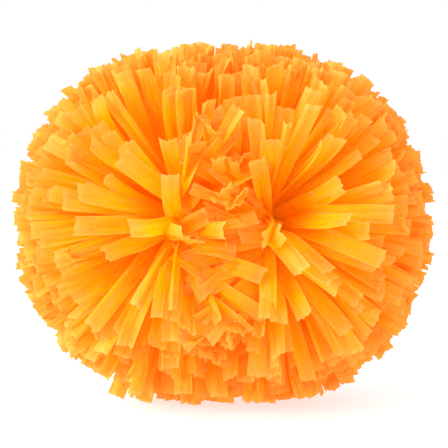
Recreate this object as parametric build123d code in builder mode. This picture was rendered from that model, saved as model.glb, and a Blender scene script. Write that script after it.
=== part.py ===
from build123d import *
import os
from math import atan2, cos, degrees, radians, sin, sqrt

# Cheer pom pom with a baton handle, in millimetres.
# A moulded grip tube lies along X. Slit film sheets are gathered round its two
# necks, each bundle under one cable tie, and a push-in cap closes each end.
# The pom lies on the plane Z = 0, with the origin under the middle of the grip.

# Streamers: reach of the tips from the middle of the tie
side_reach = 140.0  # along the handle, past the end cap
round_reach = 158.0  # square to the handle
floor_sag = 7.0  # how far the lowest tips give way where the pom lies
sheets_per_end = 16
leaf_angle = 7.0  # degrees that one upright sheet takes up round the handle
bundle_thickness = 3.4  # gathered film between the neck and the tie
parting_gap = 0.8  # between the two bursts at mid length
core_radius = 3.0  # film stays this far off the handle's axis, past the cap
core_length = 14.0  # of the empty cone in front of the cap
edge_round = 6.0  # where a leaf's rim turns in to the parting

# Room for a hand round the grip
hand_radius = 38.0
hand_end_margin = 2.0  # film stands this far inside the collar faces
hand_arch_rise = 6.0  # the film arches up this much towards mid length
hand_way_half_angle = 20.0  # sheets this near the back are swept aside

# Grip tube
grip_span = 66.0  # clear length between the collars
grip_radius = 11.0
grip_swell = 1.0  # extra radius at mid length
rib_radius = 0.9
rib_count = 11
rib_pitch = 5.2
rib_sink = 0.1  # a rib's centre lies this far under the grip's surface
bore_radius = 8.5
neck_wall = 2.0
neck_width = 9.0
collar_radius = 19.0
collar_thickness = 2.5
collar_round = 1.0
collar_fillet = 1.2
bore_chamfer = 0.6

# End caps
flange_radius = 17.0
flange_thickness = 2.5
crown_rise = 2.5
crown_fullness = 0.72  # of the rise, half way out to the rim
flange_round = 0.8
spigot_length = 14.0
spigot_wall = 1.8
spigot_clearance = 0.05
bead_height = 0.35
bead_width = 1.6
bead_roundness = 0.9  # of its height
bead_inset = 4.0  # from the spigot's inner end
bead_clearance = 0.08

# Cable ties
strap_width = 3.6
strap_thickness = 1.1
strap_round = 0.3
head_width = 6.0  # along the handle
head_length = 6.0  # round the bundle
head_height = 4.6
head_round = 0.6
slot_width = 3.9
slot_length = 1.5
tail_stub = 1.4
head_angle = 67.5  # degrees from the back, between two sheets

clearance = 0.2  # between film and the rigid pieces
step_gap = 0.6  # degrees between neighbouring sheets' roots
match = 0.01  # how closely an edge or a corner is picked out by its place

# Places along the handle, measured outwards from mid length
collar_inner = grip_span / 2
neck_start = collar_inner + collar_thickness
neck_end = neck_start + neck_width
tie_plane = (neck_start + neck_end) / 2
tube_end = neck_end
crown_end = tube_end + flange_thickness + crown_rise
bead_place = tube_end - spigot_length + bead_inset
neck_radius = bore_radius + neck_wall
tie_radius = neck_radius + clearance + bundle_thickness
axis_height = round_reach - floor_sag
handle_axis = Axis((0, 0, axis_height), (1, 0, 0))
sides = {"left": -1, "right": 1}


def outward_plane(side, angle):
    """Local x runs outwards along the handle, local y away from its axis; 0 degrees faces +Y."""
    a = radians(angle)
    return Plane(
        origin=(0, 0, axis_height),
        x_dir=(side, 0, 0),
        z_dir=(0, -side * sin(a), side * cos(a)),
    )


def burst_radius(x):
    """Reach of the tips at x outwards along the handle."""
    return round_reach * sqrt(1 - ((x - tie_plane) / side_reach) ** 2)


def rim_angle(x, r):
    """Angle of the point (x, r) of the burst's outline, as EllipticalCenterArc counts it."""
    return degrees(atan2(r / round_reach, (x - tie_plane) / side_reach))


def make_grip_tube():
    with BuildPart() as grip_tube:
        with BuildSketch(outward_plane(1, 90)) as wall:
            with BuildLine():
                swell = ThreePointArc(
                    (-collar_inner, grip_radius),
                    (0, grip_radius + grip_swell),
                    (collar_inner, grip_radius),
                )
                outer_right = Polyline(
                    swell @ 1,
                    (collar_inner, collar_radius),
                    (neck_start, collar_radius),
                    (neck_start, neck_radius),
                    (tube_end, neck_radius),
                    (tube_end, bore_radius),
                )
                outer_left = Polyline(
                    swell @ 0,
                    (-collar_inner, collar_radius),
                    (-neck_start, collar_radius),
                    (-neck_start, neck_radius),
                    (-tube_end, neck_radius),
                    (-tube_end, bore_radius),
                )
                Line(outer_right @ 1, outer_left @ 1)
            make_face()
            rims = wall.vertices().filter_by(lambda v: v.Y > collar_radius - match)
            fillet(rims, collar_round)
            roots = wall.vertices().filter_by(
                lambda v: abs(v.Y - grip_radius) < match and abs(abs(v.X) - collar_inner) < match
            )
            fillet(roots, collar_fillet)
        revolve(axis=handle_axis)
        with BuildSketch(outward_plane(1, 90)) as ribs:
            for i in range(rib_count):
                x = (i - (rib_count - 1) / 2) * rib_pitch
                surface = grip_radius + grip_swell * (1 - (x / collar_inner) ** 2)
                with Locations((x, surface - rib_sink)):
                    Circle(rib_radius)
        revolve(axis=handle_axis)
        with BuildSketch(outward_plane(1, 90)) as snap_grooves:
            with Locations(*[(s * bead_place, bore_radius) for s in sides.values()]):
                Rectangle(bead_width + 2 * bead_clearance, 2 * (bead_height + bead_clearance))
        revolve(axis=handle_axis, mode=Mode.SUBTRACT)
        mouths = grip_tube.edges().filter_by(GeomType.CIRCLE).filter_by(
            lambda e: abs(abs((e @ 0).X) - tube_end) < match and abs(e.radius - bore_radius) < match
        )
        chamfer(mouths, bore_chamfer)
    grip_tube.part.label = "grip_tube"
    return grip_tube.part


def make_end_cap(name, side):
    spigot_radius = bore_radius - spigot_clearance
    spigot_end = tube_end - spigot_length
    with BuildPart() as cap:
        with BuildSketch(outward_plane(side, 90)) as section:
            with BuildLine():
                edge = Polyline(
                    (spigot_end, spigot_radius - spigot_wall),
                    (spigot_end, spigot_radius - bead_height),
                    (spigot_end + bead_height, spigot_radius),
                    (tube_end, spigot_radius),
                    (tube_end, flange_radius),
                    (tube_end + flange_thickness, flange_radius),
                )
                crown = ThreePointArc(
                    edge @ 1,
                    (tube_end + flange_thickness + crown_fullness * crown_rise, flange_radius / 2),
                    (crown_end, 0),
                )
                inner = Polyline(
                    crown @ 1,
                    (tube_end, 0),
                    (tube_end, spigot_radius - spigot_wall),
                    edge @ 0,
                )
            make_face()
        revolve(axis=handle_axis)
        with BuildSketch(outward_plane(side, 90)) as bead:
            with Locations((bead_place, spigot_radius)):
                RectangleRounded(bead_width, 2 * bead_height, bead_height * bead_roundness)
        revolve(axis=handle_axis)
        rim = cap.edges().filter_by(GeomType.CIRCLE).filter_by(
            lambda e: abs(e.radius - flange_radius) < match
        )
        fillet(rim, flange_round)
    cap.part.label = name
    return cap.part


def make_cable_tie(name, side):
    head_base = tie_radius + strap_thickness / 2
    head_plane = outward_plane(side, head_angle)
    with BuildPart() as tie:
        with BuildSketch(outward_plane(side, 90)) as strap:
            with Locations((tie_plane, tie_radius + strap_thickness / 2)):
                RectangleRounded(strap_width, strap_thickness, strap_round)
        revolve(axis=handle_axis)
        with BuildSketch(head_plane) as head:
            with Locations((tie_plane, head_base + head_height / 2)):
                RectangleRounded(head_width, head_height, head_round)
        extrude(amount=head_length / 2, both=True)
        # The slot runs away from the bundle, and the strap's cut tail stands in it.
        top = Plane(
            origin=head_plane.from_local_coords((tie_plane, head_base + head_height, 0)),
            x_dir=head_plane.x_dir,
            z_dir=head_plane.y_dir,
        )
        with BuildSketch(top) as slot:
            Rectangle(slot_width, slot_length)
        extrude(amount=-(head_height - strap_thickness), mode=Mode.SUBTRACT)
        with BuildSketch(top.offset(-head_height)) as tail:
            Rectangle(strap_width, strap_thickness)
        extrude(amount=head_height + tail_stub)
    tie.part.label = name
    return tie.part


def make_streamer_sheet(name, side, angle):
    """One slit film sheet: its gathered root under the tie, and its fluffed strips as one upright leaf."""
    hand_end = collar_inner - hand_end_margin
    web = (neck_width - head_width) / 2 - clearance
    inner_web = (neck_start + clearance, neck_start + web)
    outer_web = (neck_end - web, neck_end - clearance)
    root_bottom = neck_radius + clearance
    root_top = tie_radius - clearance / 2
    head_top = tie_radius + strap_thickness / 2 + head_height + tail_stub + clearance
    over_collar = collar_radius + 3 * clearance
    over_flange = flange_radius + 2 * clearance
    from_back = abs((angle + 180) % 360 - 180)
    aside = from_back < hand_way_half_angle
    mid = hand_end if aside else parting_gap / 2
    mid_bottom = hand_radius if aside else hand_radius + hand_arch_rise
    mid_top = burst_radius(mid)
    core_end = tie_plane + side_reach * sqrt(1 - (core_radius / round_reach) ** 2)
    with BuildPart() as sheet:
        with BuildSketch(outward_plane(side, angle - leaf_angle / 2 * side)) as leaf:
            with BuildLine():
                under = Polyline(
                    (core_end, core_radius),
                    (crown_end + core_length, core_radius),
                    (crown_end + clearance, over_flange),
                    (outer_web[1], over_flange),
                    (outer_web[1], root_top),
                    (outer_web[0], root_top),
                    (outer_web[0], head_top),
                    (inner_web[1], head_top),
                    (inner_web[1], root_top),
                    (inner_web[0], root_top),
                    (inner_web[0], over_collar),
                    (hand_end, over_collar),
                    (hand_end, hand_radius),
                )
                if aside:
                    Line(under @ 1, (mid, mid_top))
                else:
                    Polyline(under @ 1, (mid, mid_bottom), (mid, mid_top))
                EllipticalCenterArc(
                    (tie_plane, 0),
                    side_reach,
                    round_reach,
                    start_angle=rim_angle(core_end, core_radius),
                    arc_size=rim_angle(mid, mid_top) - rim_angle(core_end, core_radius),
                )
            make_face()
            fillet(leaf.vertices().filter_by(lambda v: v.Y > mid_top - match and v.X < mid + match), edge_round)
        revolve(axis=handle_axis, revolution_arc=leaf_angle * side)
        root_angle = 360 / sheets_per_end - step_gap
        with BuildSketch(outward_plane(side, angle - root_angle / 2 * side)) as root:
            with BuildLine():
                Polyline(
                    (inner_web[0], root_bottom),
                    (outer_web[1], root_bottom),
                    (outer_web[1], flange_radius),
                    (outer_web[0], flange_radius),
                    (outer_web[0], root_top),
                    (inner_web[1], root_top),
                    (inner_web[1], collar_radius),
                    (inner_web[0], collar_radius),
                    close=True,
                )
            make_face()
        revolve(axis=handle_axis, revolution_arc=root_angle * side)
        split(bisect_by=Plane.XY, keep=Keep.TOP)
    sheet.part.label = name
    return sheet.part


def main():
    os.makedirs("parts", exist_ok=True)
    pieces = [make_grip_tube()]
    for word, side in sides.items():
        pieces.append(make_end_cap(f"end_cap_{word}", side))
        pieces.append(make_cable_tie(f"cable_tie_{word}", side))
        for i in range(sheets_per_end):
            angle = (i + 0.5) * 360 / sheets_per_end
            pieces.append(make_streamer_sheet(f"streamer_sheet_{word}_{i + 1:02d}", side, angle))
    for piece in pieces:
        export_step(piece, f"parts/{piece.label}.step")


main()
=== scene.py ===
import math

import bmesh
import bpy
import numpy as np
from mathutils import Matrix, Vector


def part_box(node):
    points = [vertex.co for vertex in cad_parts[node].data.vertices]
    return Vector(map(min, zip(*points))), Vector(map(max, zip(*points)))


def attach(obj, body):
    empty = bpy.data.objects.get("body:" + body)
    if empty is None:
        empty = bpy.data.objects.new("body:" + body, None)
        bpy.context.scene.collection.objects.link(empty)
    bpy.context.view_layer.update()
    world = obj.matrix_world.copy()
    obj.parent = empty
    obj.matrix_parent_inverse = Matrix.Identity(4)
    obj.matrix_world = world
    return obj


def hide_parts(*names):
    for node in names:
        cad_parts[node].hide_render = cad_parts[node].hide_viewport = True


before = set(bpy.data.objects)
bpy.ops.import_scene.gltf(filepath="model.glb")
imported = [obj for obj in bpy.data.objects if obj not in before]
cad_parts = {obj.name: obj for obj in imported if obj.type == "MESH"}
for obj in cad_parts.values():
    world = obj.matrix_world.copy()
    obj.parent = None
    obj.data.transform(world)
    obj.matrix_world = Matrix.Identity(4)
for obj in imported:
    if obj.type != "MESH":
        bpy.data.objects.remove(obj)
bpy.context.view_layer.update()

# The handle's places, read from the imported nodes
sideSigns = {"left": -1, "right": 1}
sheetsPerEnd = sum(name.startswith("streamer_sheet_left_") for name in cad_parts)


def findHandle():
    gripLow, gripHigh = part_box("grip_tube")
    tieLow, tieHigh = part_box("cable_tie_right")
    return {"axisZ": (gripLow.z + gripHigh.z) / 2, "tieX": (tieLow.x + tieHigh.x) / 2}


handle = findHandle()
print("frame read:", len(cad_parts), "nodes, tie plane at", round(handle["tieX"], 4))


cameraView = {"lens": 100.0, "elevation": 3.0, "distance": 1.072, "lookAt": (0.0005, 0.0, 0.1528)}


def addCamera():
    data = bpy.data.cameras.new("studioCamera")
    data.lens = cameraView["lens"]
    camera = bpy.data.objects.new("studioCamera", data)
    bpy.context.scene.collection.objects.link(camera)
    tilt = math.radians(cameraView["elevation"])
    target = Vector(cameraView["lookAt"])
    back = Vector((0, -math.cos(tilt), math.sin(tilt)))
    camera.location = target + back * cameraView["distance"]
    camera.rotation_euler = (-back).to_track_quat("-Z", "Y").to_euler()
    bpy.context.scene.camera = camera


studioLight = {
    "worldColour": (1.0, 1.0, 1.0),
    "worldStrength": 1.0,
    "keyPower": 62.0,
    "keySize": 1.8,
    "keyPlace": (-1.6, -0.8, 0.85),
    "fillPower": 0.6,
    "fillSize": 1.4,
    "fillPlace": (0.7, -1.4, 0.45),
    "bounces": 16,  # light goes through many layers of film
    "diffuseBounces": 10,
}


def addAreaLight(name, power, size, place):
    data = bpy.data.lights.new(name, "AREA")
    data.energy = power
    data.size = size
    lamp = bpy.data.objects.new(name, data)
    lamp.location = place
    aim = Vector((0, 0, handle["axisZ"])) - Vector(place)
    lamp.rotation_euler = aim.to_track_quat("-Z", "Y").to_euler()
    bpy.context.scene.collection.objects.link(lamp)


def addLights():
    world = bpy.data.worlds.new("studioWorld")
    bpy.context.scene.world = world
    world.use_nodes = True
    background = world.node_tree.nodes["Background"]
    background.inputs["Color"].default_value = (*studioLight["worldColour"], 1)
    background.inputs["Strength"].default_value = studioLight["worldStrength"]
    for word in ("key", "fill"):
        power, size, place = (studioLight[word + part] for part in ("Power", "Size", "Place"))
        addAreaLight(f"{word}Light", power, size, place)
    bpy.context.scene.view_settings.view_transform = "Standard"
    bpy.context.scene.cycles.max_bounces = studioLight["bounces"]
    bpy.context.scene.cycles.diffuse_bounces = studioLight["diffuseBounces"]


def newMaterial(name):
    material = bpy.data.materials.new(name)
    material.use_nodes = True
    tree = material.node_tree
    return material, tree, tree.nodes["Principled BSDF"]


def addNode(tree, kind, **values):
    node = tree.nodes.new(kind)
    for key, value in values.items():
        setattr(node, key, value)
    return node


filmLook = {
    "deepColour": (0.95, 0.46, 0.0),
    "brightColour": (0.97, 0.60, 0.0),
    "tipColour": (0.98, 0.45, 0.04),
    "paintedHighlightColour": (1.0, 0.60, 0.13),  # painted highlights: pale on the cut edges, along creases and on crumpled patches
    "paintedEdgeHighlight": 0.65,
    "paintedCreaseHighlight": 0.5,
    "paintedPatchHighlight": 0.65,
    "glowColour": (0.95, 0.50, 0.0),
    "glowTipColour": (0.98, 0.42, 0.07),
    "throughShare": 0.52,
    "paintedGlow": 0.18,  # painted glow: emission that stands in for light that has gone through many layers of film
    "paintedGlowColour": (1.0, 0.38, 0.0),
    "roughness": 0.4,
    "specular": 0.17,
    "creaseBump": 0.6,
    "bumpDistance": 0.0012,
}

# Sizes of the film's pattern in strip widths, and where along and across a strip each mark shows
filmPattern = {
    "distortion": 0.6,
    "streakNoise": ((5.0, 0.3, 1.0), 1.0, 3.0),  # stretch, scale and detail, where the film was drawn
    "streakTone": (0.35, 0.65),
    "streakShare": 0.5,
    "stripShare": 0.5,
    "streakHeight": 0.4,
    "creaseNoise": ((3.6, 0.22, 1.0), 1.0, 1.0),  # thin lines along the strip
    "creaseLine": (0.05, 0.0),
    "creaseHeight": 0.25,
    "crumpleNoise": ((1.0, 1.0, 1.0), 2.6, 2.0),  # from handling
    "patchNoise": ((1.3, 0.7, 1.0), 1.4, 3.0),
    "patchFade": (0.60, 0.72),
    "patchAlong": (0.35, 0.9),
    "tipAlong": (0.80, 1.02),
    "cutAlong": (0.965, 0.995),
    "cutAcross": (0.86, 1.0),
}


def makeFilmMaterial():
    look, pattern = filmLook, filmPattern
    material, tree, principled = newMaterial("orangeFilm")
    uv = addNode(tree, "ShaderNodeUVMap", uv_map="filmUv")
    tone = addNode(tree, "ShaderNodeAttribute", attribute_name="stripTone")
    along = addNode(tree, "ShaderNodeAttribute", attribute_name="alongStrip")
    across = addNode(tree, "ShaderNodeAttribute", attribute_name="acrossStrip")

    def noise(stretch, scale, detail):
        place = addNode(tree, "ShaderNodeMapping")
        place.inputs["Scale"].default_value = stretch
        texture = addNode(tree, "ShaderNodeTexNoise", noise_dimensions="2D")
        texture.inputs["Scale"].default_value = scale
        texture.inputs["Detail"].default_value = detail
        texture.inputs["Distortion"].default_value = pattern["distortion"]
        tree.links.new(uv.outputs["UV"], place.inputs["Vector"])
        tree.links.new(place.outputs["Vector"], texture.inputs["Vector"])
        return texture.outputs["Fac"]

    def ramp(value, span, top=1.0):
        node = addNode(tree, "ShaderNodeMapRange", interpolation_type="SMOOTHSTEP")
        node.inputs["From Min"].default_value, node.inputs["From Max"].default_value = span
        node.inputs["To Max"].default_value = top
        tree.links.new(value, node.inputs["Value"])
        return node.outputs["Result"]

    def join(operation, first, second, third=None):
        node = addNode(tree, "ShaderNodeMath", operation=operation)
        for socket, value in zip(node.inputs, (first, second, third)):
            if isinstance(value, float):
                socket.default_value = value
            elif value is not None:
                tree.links.new(value, socket)
        return node.outputs["Value"]

    def blend(first, second, mask):
        node = addNode(tree, "ShaderNodeMix", data_type="RGBA")
        for name, colour in (("A", first), ("B", second)):
            if isinstance(colour, tuple):
                node.inputs[name].default_value = (*colour, 1)
            else:
                tree.links.new(colour, node.inputs[name])
        tree.links.new(mask, node.inputs["Factor"])
        return node.outputs["Result"]

    streak = noise(*pattern["streakNoise"])
    fold = noise(*pattern["creaseNoise"])
    crease = ramp(join("ABSOLUTE", join("SUBTRACT", fold, 0.5), 0.0), pattern["creaseLine"])
    crumple = noise(*pattern["crumpleNoise"])
    patch = noise(*pattern["patchNoise"])

    height = join("MULTIPLY_ADD", streak, pattern["streakHeight"], crumple)
    height = join("MULTIPLY_ADD", crease, pattern["creaseHeight"], height)
    bump = addNode(tree, "ShaderNodeBump")
    bump.inputs["Strength"].default_value = look["creaseBump"]
    bump.inputs["Distance"].default_value = look["bumpDistance"]
    tree.links.new(height, bump.inputs["Height"])
    tree.links.new(bump.outputs["Normal"], principled.inputs["Normal"])

    streakTone = ramp(streak, pattern["streakTone"], pattern["streakShare"])
    toneMask = join("MULTIPLY_ADD", tone.outputs["Fac"], pattern["stripShare"], streakTone)
    tipMask = ramp(along.outputs["Fac"], pattern["tipAlong"])
    offCentre = join("ABSOLUTE", join("MULTIPLY_ADD", across.outputs["Fac"], 2.0, -1.0), 0.0)
    sideMask = ramp(offCentre, pattern["cutAcross"])
    edgeMask = join("MAXIMUM", sideMask, ramp(along.outputs["Fac"], pattern["cutAlong"]))
    # Painted highlights: the cut edges, the crease lines and crumpled patches towards the tips are mixed
    # towards a pale colour
    outer = ramp(along.outputs["Fac"], pattern["patchAlong"])
    patchMask = join("MULTIPLY", ramp(patch, pattern["patchFade"], look["paintedPatchHighlight"]), outer)
    creaseMask = join("MULTIPLY", crease, look["paintedCreaseHighlight"])
    paintedHighlight = join("MAXIMUM", join("MULTIPLY", edgeMask, look["paintedEdgeHighlight"]), patchMask)
    paintedHighlight = join("MAXIMUM", paintedHighlight, creaseMask)
    face = blend(look["deepColour"], look["brightColour"], toneMask)
    face = blend(face, look["tipColour"], tipMask)
    face = blend(face, look["paintedHighlightColour"], paintedHighlight)
    tree.links.new(face, principled.inputs["Base Color"])
    # Painted glow: the film emits light to lift its shaded depths
    principled.inputs["Emission Color"].default_value = (*look["paintedGlowColour"], 1)
    principled.inputs["Emission Strength"].default_value = look["paintedGlow"]
    principled.inputs["Roughness"].default_value = look["roughness"]
    principled.inputs["Specular IOR Level"].default_value = look["specular"]
    glow = blend(look["glowColour"], look["glowTipColour"], tipMask)
    through = addNode(tree, "ShaderNodeBsdfTranslucent")
    tree.links.new(glow, through.inputs["Color"])
    tree.links.new(bump.outputs["Normal"], through.inputs["Normal"])
    mix = addNode(tree, "ShaderNodeMixShader")
    mix.inputs["Fac"].default_value = look["throughShare"]
    tree.links.new(principled.outputs["BSDF"], mix.inputs[1])
    tree.links.new(through.outputs["BSDF"], mix.inputs[2])
    tree.links.new(mix.outputs["Shader"], tree.nodes["Material Output"].inputs["Surface"])
    return material


mouldedGrain = {
    "inputs": {"Grain Scale": 900.0, "Wear Scale": 60.0, "Grain Share": 0.5},
    "grainDetail": 3.0,
    "wearDetail": 5.0,
    "wearRoughness": 0.65,
    "bumpDistance": 0.0003,
}


def makeGrainGroup():
    group = bpy.data.node_groups.new("mouldedGrain", "ShaderNodeTree")
    for name, value in mouldedGrain["inputs"].items():
        socket = group.interface.new_socket(name, in_out="INPUT", socket_type="NodeSocketFloat")
        socket.default_value = value
    group.interface.new_socket("Height", in_out="OUTPUT", socket_type="NodeSocketFloat")
    group.interface.new_socket("Wear", in_out="OUTPUT", socket_type="NodeSocketFloat")
    inner = addNode(group, "NodeGroupInput")
    outer = addNode(group, "NodeGroupOutput")
    place = addNode(group, "ShaderNodeTexCoord")
    grain = addNode(group, "ShaderNodeTexNoise")
    grain.inputs["Detail"].default_value = mouldedGrain["grainDetail"]
    wear = addNode(group, "ShaderNodeTexNoise")
    wear.inputs["Detail"].default_value = mouldedGrain["wearDetail"]
    wear.inputs["Roughness"].default_value = mouldedGrain["wearRoughness"]
    mix = addNode(group, "ShaderNodeMix", data_type="FLOAT")
    for texture, scale in ((grain, "Grain Scale"), (wear, "Wear Scale")):
        group.links.new(place.outputs["Object"], texture.inputs["Vector"])
        group.links.new(inner.outputs[scale], texture.inputs["Scale"])
    group.links.new(inner.outputs["Grain Share"], mix.inputs["Factor"])
    group.links.new(wear.outputs["Fac"], mix.inputs["A"])
    group.links.new(grain.outputs["Fac"], mix.inputs["B"])
    group.links.new(mix.outputs["Result"], outer.inputs["Height"])
    group.links.new(wear.outputs["Fac"], outer.inputs["Wear"])
    return group


plasticLooks = {
    "gripPlastic": {
        "colour": (0.80, 0.17, 0.008), "worn": (0.88, 0.26, 0.03), "grain": 1400.0, "wear": 45.0,
        "share": 0.7, "bump": 0.35, "smooth": 0.42, "rough": 0.62,
    },
    "capPlastic": {
        "colour": (0.82, 0.18, 0.01), "worn": (0.9, 0.3, 0.05), "grain": 700.0, "wear": 70.0,
        "share": 0.3, "bump": 0.12, "smooth": 0.22, "rough": 0.38,
    },
    "tieNylon": {
        "colour": (0.80, 0.77, 0.68), "worn": (0.88, 0.86, 0.80), "grain": 1100.0, "wear": 120.0,
        "share": 0.4, "bump": 0.15, "smooth": 0.35, "rough": 0.5,
    },
}


def makePlastic(name, grainGroup):
    look = plasticLooks[name]
    material, tree, principled = newMaterial(name)
    grain = addNode(tree, "ShaderNodeGroup", node_tree=grainGroup)
    grain.inputs["Grain Scale"].default_value = look["grain"]
    grain.inputs["Wear Scale"].default_value = look["wear"]
    grain.inputs["Grain Share"].default_value = look["share"]
    colour = addNode(tree, "ShaderNodeMix", data_type="RGBA")
    colour.inputs["A"].default_value = (*look["colour"], 1)
    colour.inputs["B"].default_value = (*look["worn"], 1)
    tree.links.new(grain.outputs["Wear"], colour.inputs["Factor"])
    tree.links.new(colour.outputs["Result"], principled.inputs["Base Color"])
    rough = addNode(tree, "ShaderNodeMapRange")
    rough.inputs["To Min"].default_value = look["smooth"]
    rough.inputs["To Max"].default_value = look["rough"]
    tree.links.new(grain.outputs["Wear"], rough.inputs["Value"])
    tree.links.new(rough.outputs["Result"], principled.inputs["Roughness"])
    bump = addNode(tree, "ShaderNodeBump")
    bump.inputs["Strength"].default_value = look["bump"]
    bump.inputs["Distance"].default_value = mouldedGrain["bumpDistance"]
    tree.links.new(grain.outputs["Height"], bump.inputs["Height"])
    tree.links.new(bump.outputs["Normal"], principled.inputs["Normal"])
    return material


sheetCut = {
    "stripsPerEdge": 31,
    "stripWidth": 0.015,
    "stripLength": 0.152,
    "middleBand": 0.014,
}

# The two reaches are in metres from the middle of the tie; shortest, usual and longest are shares of them
burst = {
    "sideReach": 0.140,  # tips past the tie plane, along the handle
    "roundReach": 0.157,  # tips square to the handle
    "waist": 0.4,  # inward leans up to this share of the reach keep the full height
    "inwardLimit": 117.0,  # degrees from the handle's outward end
    "spreadRound": 5.0,  # degrees that a tip may stray round the handle
    "comb": 1.0,  # how far the strips at the front and back have fallen outwards
    "fall": 0.22,  # how far they have fallen down
    "stray": 0.065,
    "shortest": 0.87,
    "usual": 0.99,
    "longest": 1.004,
    "droop": 0.18,  # how much shorter the drooping strips may stand
    "droopFront": 2.0,  # how soon the droop sets in towards the front and the back
    "crossing": 0.016,  # how far most tips may pass the middle of the pom
    "crossingShare": (0.2, 1.0),
    "layBack": 0.65,  # how far the ends lie back along the outside of the burst
    "overturn": 0.30,  # how far the ends turn on past where the strip points
    "handWay": 0.031,  # nearest that a strip beside the hand comes to mid length
    "handWayStray": 0.08,
    "handWayAngle": 20.0,  # sheets this near the back are swept aside, in degrees
}

# Strips that lean over the grip
leaning = {
    "share": 0.4,
    "from": -0.15,  # only where they point inwards at least this much
    "past": 0.034,  # how far they may pass the middle
    "reach": (0.86, 1.03),
    "place": (0.6, 1.8),  # of the way from the tie to the middle, and on past it
}

# Strips before the grip that have slumped across it
slumping = {
    "share": 0.48,
    "front": 0.5,  # only where they point to the front at least this much
    "outermost": 0.25,  # and no further outwards than this
    "past": (-0.020, 0.036),  # how far their tips pass the middle
    "forward": (0.064, 0.116),  # how far their tips lie before the handle
    "fan": 0.75,
    "spread": 0.098,  # how far up and down
    "stray": 0.012,
    "layBack": 2.6,
    "settle": 0.5,  # share of their length that lies along the outside
    "turned": 1.5,  # how far they show their faces
}

# Each strip's way from the pleats under the tie, past the strap's edge, out into the burst
# Asides are from the tie's middle plane, radii from the handle's axis
stripRun = {
    "rows": 22,
    "rootRadius": 0.0125,
    "rootAside": 0.0004,
    "strapAside": 0.0030,
    "strapRise": 0.0004,
    "lipRadius": 0.0205,
    "lipAside": 0.0034,
    "leaveOutward": 0.30,  # how far it heads away from the tie as it leaves
    "leaveAhead": 0.9,  # and how far the way that it will point
    "straight": 0.33,  # of the span, before it bends and again before the tip
    "straightInward": 0.17,  # more before the tip of an inward strip
    "inwardTurn": 0.3,  # inward strips past this end square to the handle
    "bow": 0.005,
    "driftShare": 0.5,  # of the bow
    "tipCurl": 0.009,
    "curlFrom": 0.6,
    "turned": 0.12,  # how far the strips show their faces
    "turnStray": 0.03,
    "freedBy": 0.25,  # where the pleats have let go of the neck
    "rollStray": 20.0,  # degrees, one standard deviation
    "rolledBy": 0.2,
    "twist": 15.0,
}

stripShape = {
    "columns": 9,
    "opens": (0.02, 0.30),  # where the pleats come open along the strip
    "pleatAngle": 89.3,  # degrees
    "tipCurl": (0.15, 0.36),  # mean and stray of the curl across the tip, in radians
    "rootCurl": 3.4,  # more curl near the root, in radians
    "rootCurlSpread": (0.6, 1.25),
    "rootCurlFade": 1.7,
    "foldShare": 0.6,  # chance of each of two lengthwise folds
    "foldPlace": (0.05, 0.7),  # from the strip's middle to its edge
    "foldAngle": (20.0, 115.0),  # degrees
    "foldOpens": 0.4,  # share that has opened at the tip
    "crinkle": 0.001,
    "crinklePitch": (9, 17),
    "crinklePhase": 6.28,  # a full turn
    "crinkleFrom": (0.2, 0.5),
    "cutWander": 0.0005,
    "cutSlope": 0.0012,
}

floorGap = 0.0006
floorSoftness = 0.002  # over this height the lowest strips lie down
patternSpread = 40  # strip widths over which the film's pattern is cut
seed = 4171


def smoothStep(x, low, high):
    t = np.clip((x - low) / (high - low), 0, 1)
    return t * t * (3 - 2 * t)


def unit(v):
    return v / np.maximum(np.linalg.norm(v, axis=-1, keepdims=True), 1e-9)


def aimStrips(rng, angle, edge, aside):
    # Each strip's direction as it leaves the tie, then as it ends, in x outwards along the handle, y and z
    count = sheetCut["stripsPerEdge"]
    low, high = (0.0, 0.5) if edge > 0 else (0.5, 1.0)
    share = low + (high - low) * (rng.permutation(count) + rng.random(count)) / count
    limit = math.cos(math.radians(burst["inwardLimit"]))
    along = 1 - share * (1 - limit)
    sector = 360 / sheetsPerEnd
    phi = angle + sector * ((np.arange(count) + 0.5) / count - 0.5)
    phi = np.radians(phi + rng.normal(0, burst["spreadRound"], count))
    if aside:
        nearest = (burst["handWay"] - handle["tieX"]) / burst["sideReach"]
        along = np.maximum(along, nearest + burst["handWayStray"] * rng.random(count))
    around = np.sqrt(1 - along**2)
    start = np.stack([along, around * np.cos(phi), around * np.sin(phi)], 1)
    facing = np.abs(start[:, 1:2])
    planar = start * [1, 0, 1]
    planar[:, 0] = np.where(planar[:, 0] < 0, 0.0, planar[:, 0])
    steep = np.sqrt(1 - facing**2)
    end = start + burst["comb"] * facing * steep * unit(planar)
    end[:, 2] -= burst["fall"] * facing[:, 0]
    end = unit(end + rng.normal(0, burst["stray"], (count, 3)))
    return start, end, phi


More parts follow.
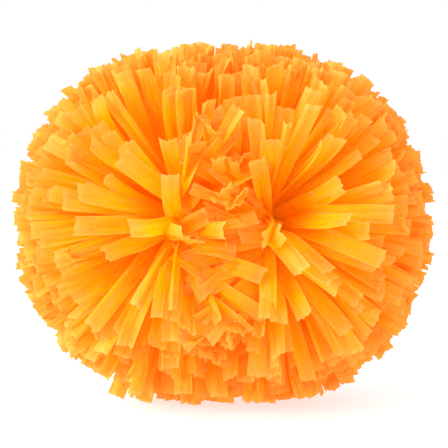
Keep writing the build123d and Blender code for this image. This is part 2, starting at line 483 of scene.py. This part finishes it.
def placeTips(rng, start, end, aside):
    # Where the tips lie from the middle of the tie, with x outwards, and which strips have slumped
    count = len(start)
    reach = rng.triangular(burst["shortest"], burst["usual"], burst["longest"], count)[:, None]
    size = np.array([burst["sideReach"], burst["roundReach"], burst["roundReach"]])
    droops = np.clip(-end[:, 2:], 0, 1) * np.clip(np.abs(end[:, 1:2]) * burst["droopFront"], 0, 1)
    reach = reach * (1 - burst["droop"] * droops * rng.random((count, 1)))
    leans = (rng.random(count) < leaning["share"]) & (end[:, 0] < leaning["from"]) & (not aside)
    reach = reach * np.where(leans, rng.uniform(*leaning["reach"], count), 1.0)[:, None]
    nearest = np.where(leans, leaning["past"], -burst["handWay"] if aside else burst["crossing"])
    local = reach * end * size
    local[:, 1:] /= np.sqrt(1 - np.clip(-end[:, :1], 0, burst["waist"]) ** 2)
    local[:, 0] = np.where(leans, -handle["tieX"] * rng.uniform(*leaning["place"], count), local[:, 0])
    innermost = -handle["tieX"] - nearest * rng.uniform(*burst["crossingShare"], count)
    local[:, 0] = np.maximum(local[:, 0], innermost)
    before = (start[:, 1] < -slumping["front"]) & (start[:, 0] < slumping["outermost"])
    slumps = before & (rng.random(count) < slumping["share"])
    height = np.clip(start[:, 2], -slumping["fan"], slumping["fan"]) * slumping["spread"]
    slumped = np.stack([
        -handle["tieX"] - rng.uniform(*slumping["past"], count),
        -rng.uniform(*slumping["forward"], count),
        height + rng.normal(0, slumping["stray"], count),
    ], 1)
    local = np.where(slumps[:, None], slumped, local)
    return local, unit(local / size), slumps[:, None]


def stripPaths(rng, side, edge, start, end, phi, aside):
    # Centre line of every strip, rows of points from the tie to the tip
    run, rows, count = stripRun, stripRun["rows"], len(phi)
    outward = np.array([side, 0.0, 0.0])
    flip = np.array([side, 1.0, 1.0])
    centre = np.array([side * handle["tieX"], 0.0, handle["axisZ"]])
    radial = np.stack([np.zeros(count), np.cos(phi), np.sin(phi)], 1)
    local, end, slumps = placeTips(rng, start, end, aside)
    tip = centre + local * flip
    root = centre + edge * run["rootAside"] * outward + run["rootRadius"] * radial
    bend = centre + edge * run["strapAside"] * outward + (run["rootRadius"] + run["strapRise"]) * radial
    lip = centre + edge * run["lipAside"] * outward + run["lipRadius"] * radial
    span = np.linalg.norm(tip - lip, axis=1)[:, None]
    inward = np.where(slumps, 0.0, np.clip(-end[:, :1] / run["inwardTurn"], 0, 1))
    leave = unit(radial + run["leaveOutward"] * edge * outward + run["leaveAhead"] * start * flip)
    planar = end * [1, 0, 1]
    laid = unit(planar - (planar * end).sum(1, keepdims=True) * end) * np.abs(end[:, 1:2])
    layBack = np.where(slumps, slumping["layBack"], burst["layBack"])
    outside = unit(end + burst["overturn"] * (end - start) + layBack * laid) * flip
    arrive = unit(outside * (1 - inward) + radial * inward)
    settle = np.where(slumps, slumping["settle"], run["straight"] + run["straightInward"] * inward)
    late = np.concatenate([[0, 0], np.linspace(0, 1, rows - 2)])[None, :, None]
    middles = lip + leave * span * run["straight"], tip - arrive * span * settle
    p0, p1, p2, p3 = (p[:, None, :] for p in (lip, *middles, tip))
    path = (1 - late) ** 3 * p0 + 3 * (1 - late) ** 2 * late * p1
    path = path + 3 * (1 - late) * late**2 * p2 + late**3 * p3
    path[:, 0], path[:, 1] = root, bend
    # Which way the strip has given: its face lies square to this
    facing = np.where(start[:, 1:2] < 0, 1.0, -1.0) * [0, 1, 0]
    turned = np.where(slumps, slumping["turned"], run["turned"])
    given = unit((end - start) * flip + turned * facing + rng.normal(0, run["turnStray"], (count, 3)))
    aim = unit(tip - lip)
    edgeways = unit(np.cross(aim, given))
    faceways = np.cross(edgeways, aim)
    arch = np.sin(np.pi * late) * rng.normal(0, run["bow"], (count, 1, 1))
    curling = np.clip((late - run["curlFrom"]) / (1 - run["curlFrom"]), 0, 1) ** 2
    curl = curling * rng.normal(0, run["tipCurl"], (count, 1, 1))
    drift = late**2 * rng.normal(0, run["bow"] * run["driftShare"], (count, 1, 1))
    path = path + faceways[:, None, :] * (arch + curl) + edgeways[:, None, :] * drift
    late = late[0, :, 0]
    # Under the tie the pleats step round the neck; further out each strip lies its own way
    around = np.stack([np.zeros(count), -np.sin(phi), np.cos(phi)], 1)
    around = around * np.where((around * edgeways).sum(1) < 0, -1.0, 1.0)[:, None]
    freed = smoothStep(late, 0.0, run["freedBy"])[None, :, None]
    sideways = unit(around[:, None, :] * (1 - freed) + edgeways[:, None, :] * freed)
    return path, sideways, late


def stripSections(rng, side, edge, late):
    # Flat profile across each strip at each row: pleated at the root, then a loose curl and folds
    shape, columns, count = stripShape, stripShape["columns"], sheetCut["stripsPerEdge"]
    one = (count, 1, 1)
    far = late[None, :, None]
    mids = (np.arange(columns - 1) + 0.5) / (columns - 1) * 2 - 1
    opening = smoothStep(far, *shape["opens"])
    zigzag = np.where(np.arange(columns - 1) % 2 == 0, 1, -1) * side * edge
    pleats = math.radians(shape["pleatAngle"]) * zigzag
    tipCurl = np.abs(rng.normal(*shape["tipCurl"], one))
    rootCurl = shape["rootCurl"] * rng.uniform(*shape["rootCurlSpread"], one)
    curl = (tipCurl + rootCurl * (1 - far) ** shape["rootCurlFade"]) * rng.choice([-1, 1], one)
    loose = curl * mids / 2
    for half in (-1, 1):
        place = half * rng.uniform(*shape["foldPlace"], one)
        fold = np.radians(rng.uniform(*shape["foldAngle"], one))
        fold = fold * (rng.random(one) < shape["foldShare"]) * rng.choice([-1, 1], one)
        loose = loose + fold * (1 - shape["foldOpens"] * far**3) / 2 * np.sign(mids - place)
    slope = pleats * (1 - opening) + loose * opening
    step = sheetCut["stripWidth"] / (columns - 1)
    edgeLine = np.zeros((count, len(late), 1))
    y = np.concatenate([edgeLine, np.cumsum(np.cos(slope) * step, 2)], 2)
    z = np.concatenate([edgeLine, np.cumsum(np.sin(slope) * step, 2)], 2)
    y -= y.mean(2, keepdims=True)
    z -= z.mean(2, keepdims=True)
    # Small crinkles that run with the strip and drift slowly across it
    phase = shape["crinklePhase"] * rng.random((count, 1, columns))
    pitch = rng.uniform(*shape["crinklePitch"], one)
    crinkles = np.sin(pitch * far + phase) * shape["crinkle"] * smoothStep(far, *shape["crinkleFrom"])
    return y, z + crinkles


def layStrips(rng, side, angle, edge, aside):
    # Points of one edge's strips, by strip, row and column, and how far along each row is
    run, columns, count = stripRun, stripShape["columns"], sheetCut["stripsPerEdge"]
    start, end, phi = aimStrips(rng, angle, edge, aside)
    path, sideways, late = stripPaths(rng, side, edge, start, end, phi, aside)
    y, z = stripSections(rng, side, edge, late)
    tangent = unit(np.gradient(path, axis=1))
    flat = unit(sideways - (sideways * tangent).sum(2, keepdims=True) * tangent)
    rise = np.cross(tangent, flat)
    roll = np.radians(rng.normal(0, run["rollStray"], (count, 1))) * smoothStep(late, 0.0, run["rolledBy"])
    roll = roll + np.radians(rng.normal(0, run["twist"], (count, 1))) * late
    c, s = np.cos(roll)[:, :, None], np.sin(roll)[:, :, None]
    lateral, normal = c * flat + s * rise, c * rise - s * flat
    block = path[:, :, None, :] + y[..., None] * lateral[:, :, None, :] + z[..., None] * normal[:, :, None, :]
    # The cut across the tip is neither straight nor square
    wander = rng.normal(0, stripShape["cutWander"], (count, columns))
    wander = wander + rng.normal(0, stripShape["cutSlope"], (count, 1)) * np.linspace(-1, 1, columns)
    block[:, -1] += wander[..., None] * tangent[:, -1][:, None, :]
    # The lowest strips lie down along the floor
    rest = floorGap + floorSoftness * rng.random((count, 1, 1))
    block[..., 2] = rest + np.logaddexp(0, (block[..., 2] - rest) / floorSoftness) * floorSoftness
    return block, late


def buildFilmMesh(name, points, faces, uvs, marks, film):
    mesh = bpy.data.meshes.new(name)
    mesh.from_pydata(points.tolist(), [], faces.tolist())
    uvLayer = mesh.uv_layers.new(name="filmUv")
    uvLayer.data.foreach_set("uv", uvs[faces.reshape(-1)].astype(np.float32).reshape(-1))
    for label, values in marks.items():
        attribute = mesh.attributes.new(label, "FLOAT", "POINT")
        attribute.data.foreach_set("value", values.astype(np.float32))
    mesh.materials.append(film)
    mesh.shade_smooth()
    mesh.update()
    piece = bpy.data.objects.new(name, mesh)
    bpy.context.scene.collection.objects.link(piece)
    return piece


def makeStreamerSheet(rng, word, number, film):
    angle = number * 360 / sheetsPerEnd - 180 / sheetsPerEnd
    aside = abs((angle + 180) % 360 - 180) < burst["handWayAngle"]
    strips, rows, columns = sheetCut["stripsPerEdge"], stripRun["rows"], stripShape["columns"]
    gridShape, perEdge = (strips, rows, columns), strips * rows * columns
    points, faces, uvs = [], [], []
    marks = {"stripTone": [], "alongStrip": [], "acrossStrip": []}
    across = np.linspace(0, 1, columns)[None, None, :]
    down = np.linspace(0, sheetCut["stripLength"] / sheetCut["stripWidth"], rows)[None, :, None]
    for half, edge in enumerate((1, -1)):
        block, late = layStrips(rng, sideSigns[word], angle, edge, aside)
        grid = (np.arange(perEdge) + half * perEdge).reshape(gridShape)
        corners = [grid[:, :-1, :-1], grid[:, :-1, 1:], grid[:, 1:, 1:], grid[:, 1:, :-1]]
        points.append(block.reshape(-1, 3))
        faces.append(np.stack(corners, -1).reshape(-1, 4))
        marks["stripTone"].append(np.repeat(rng.random(strips), rows * columns))
        marks["alongStrip"].append(np.broadcast_to(late[None, :, None], gridShape).reshape(-1))
        marks["acrossStrip"].append(np.broadcast_to(across, gridShape).reshape(-1))
        cutFrom = patternSpread * rng.random((strips, 1, 1))
        places = [np.broadcast_to(part + cutFrom, gridShape) for part in (across, down)]
        uvs.append(np.stack(places, -1).reshape(-1, 2))
    marks = {label: np.concatenate(parts) for label, parts in marks.items()}
    points, faces, uvs = (np.concatenate(parts) for parts in (points, faces, uvs))
    piece = buildFilmMesh(f"streamers_{word}_{number:02d}", points, faces, uvs, marks, film)
    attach(piece, "root")
    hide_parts(f"streamer_sheet_{word}_{number:02d}")


def dressHandle():
    grainGroup = makeGrainGroup()
    looks = {"grip_tube": "gripPlastic"}
    for word in sideSigns:
        looks[f"end_cap_{word}"] = "capPlastic"
        looks[f"cable_tie_{word}"] = "tieNylon"
    made = {name: makePlastic(name, grainGroup) for name in plasticLooks}
    for node, look in looks.items():
        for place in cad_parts[node].material_slots:
            place.material = made[look]


floorLook = {
    "halfSize": 6.0,
    "colour": (0.5, 0.5, 0.5),
    "roughness": 0.7,
    "glow": 0.62,  # keeps the shadow pale
}


def addFloor():
    mesh = bpy.data.meshes.new("floor")
    form = bmesh.new()
    bmesh.ops.create_grid(form, x_segments=2, y_segments=2, size=floorLook["halfSize"])
    form.to_mesh(mesh)
    form.free()
    floor = bpy.data.objects.new("floor", mesh)
    bpy.context.scene.collection.objects.link(floor)
    material, _, principled = newMaterial("paleFloor")
    principled.inputs["Base Color"].default_value = (*floorLook["colour"], 1)
    principled.inputs["Roughness"].default_value = floorLook["roughness"]
    principled.inputs["Emission Color"].default_value = (1, 1, 1, 1)
    principled.inputs["Emission Strength"].default_value = floorLook["glow"]
    mesh.materials.append(material)


addCamera()
addLights()
addFloor()
print("camera, light and floor are in")
dressHandle()
print("handle has its plastics")
film = makeFilmMaterial()
rng = np.random.default_rng(seed)
for word in sideSigns:
    for number in range(1, sheetsPerEnd + 1):
        makeStreamerSheet(rng, word, number, film)
    print("streamers made:", word)
